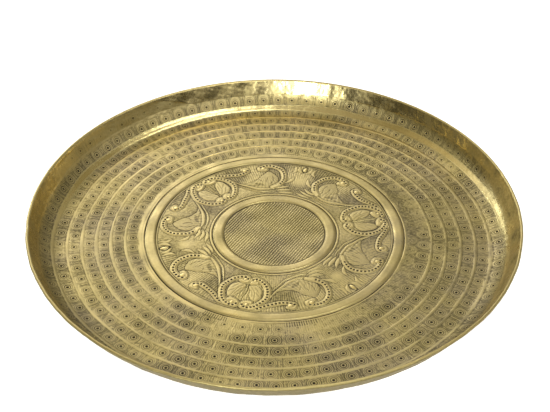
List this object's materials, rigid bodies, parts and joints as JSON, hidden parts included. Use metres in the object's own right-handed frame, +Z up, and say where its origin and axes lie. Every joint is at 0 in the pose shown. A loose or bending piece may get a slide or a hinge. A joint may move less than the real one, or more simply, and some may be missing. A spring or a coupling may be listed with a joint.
{
  "type": "round chased brass tray",
  "caption": "Round dished brass tray with a curved wall and a wired edge, a hatched centre, a scroll band between raised rings and a spiral of stamped bullseyes.",
  "frame": {"origin": "centre of the underside of the floor, in the plane that the tray rests on", "axes": "+Z up along the tray's axis, +X to the right and +Y away from the viewer in the picture"},
  "size_m": [0.3999, 0.4, 0.0248],
  "materials": {
    "brass_sheet": "chased, polished and tarnished in the hollows",
    "steel_wire": "drawn"
  },
  "bodies": {
    "root": {"tray_pan": "brass_sheet", "rim_wire": "steel_wire"}
  },
  "joints": []
}
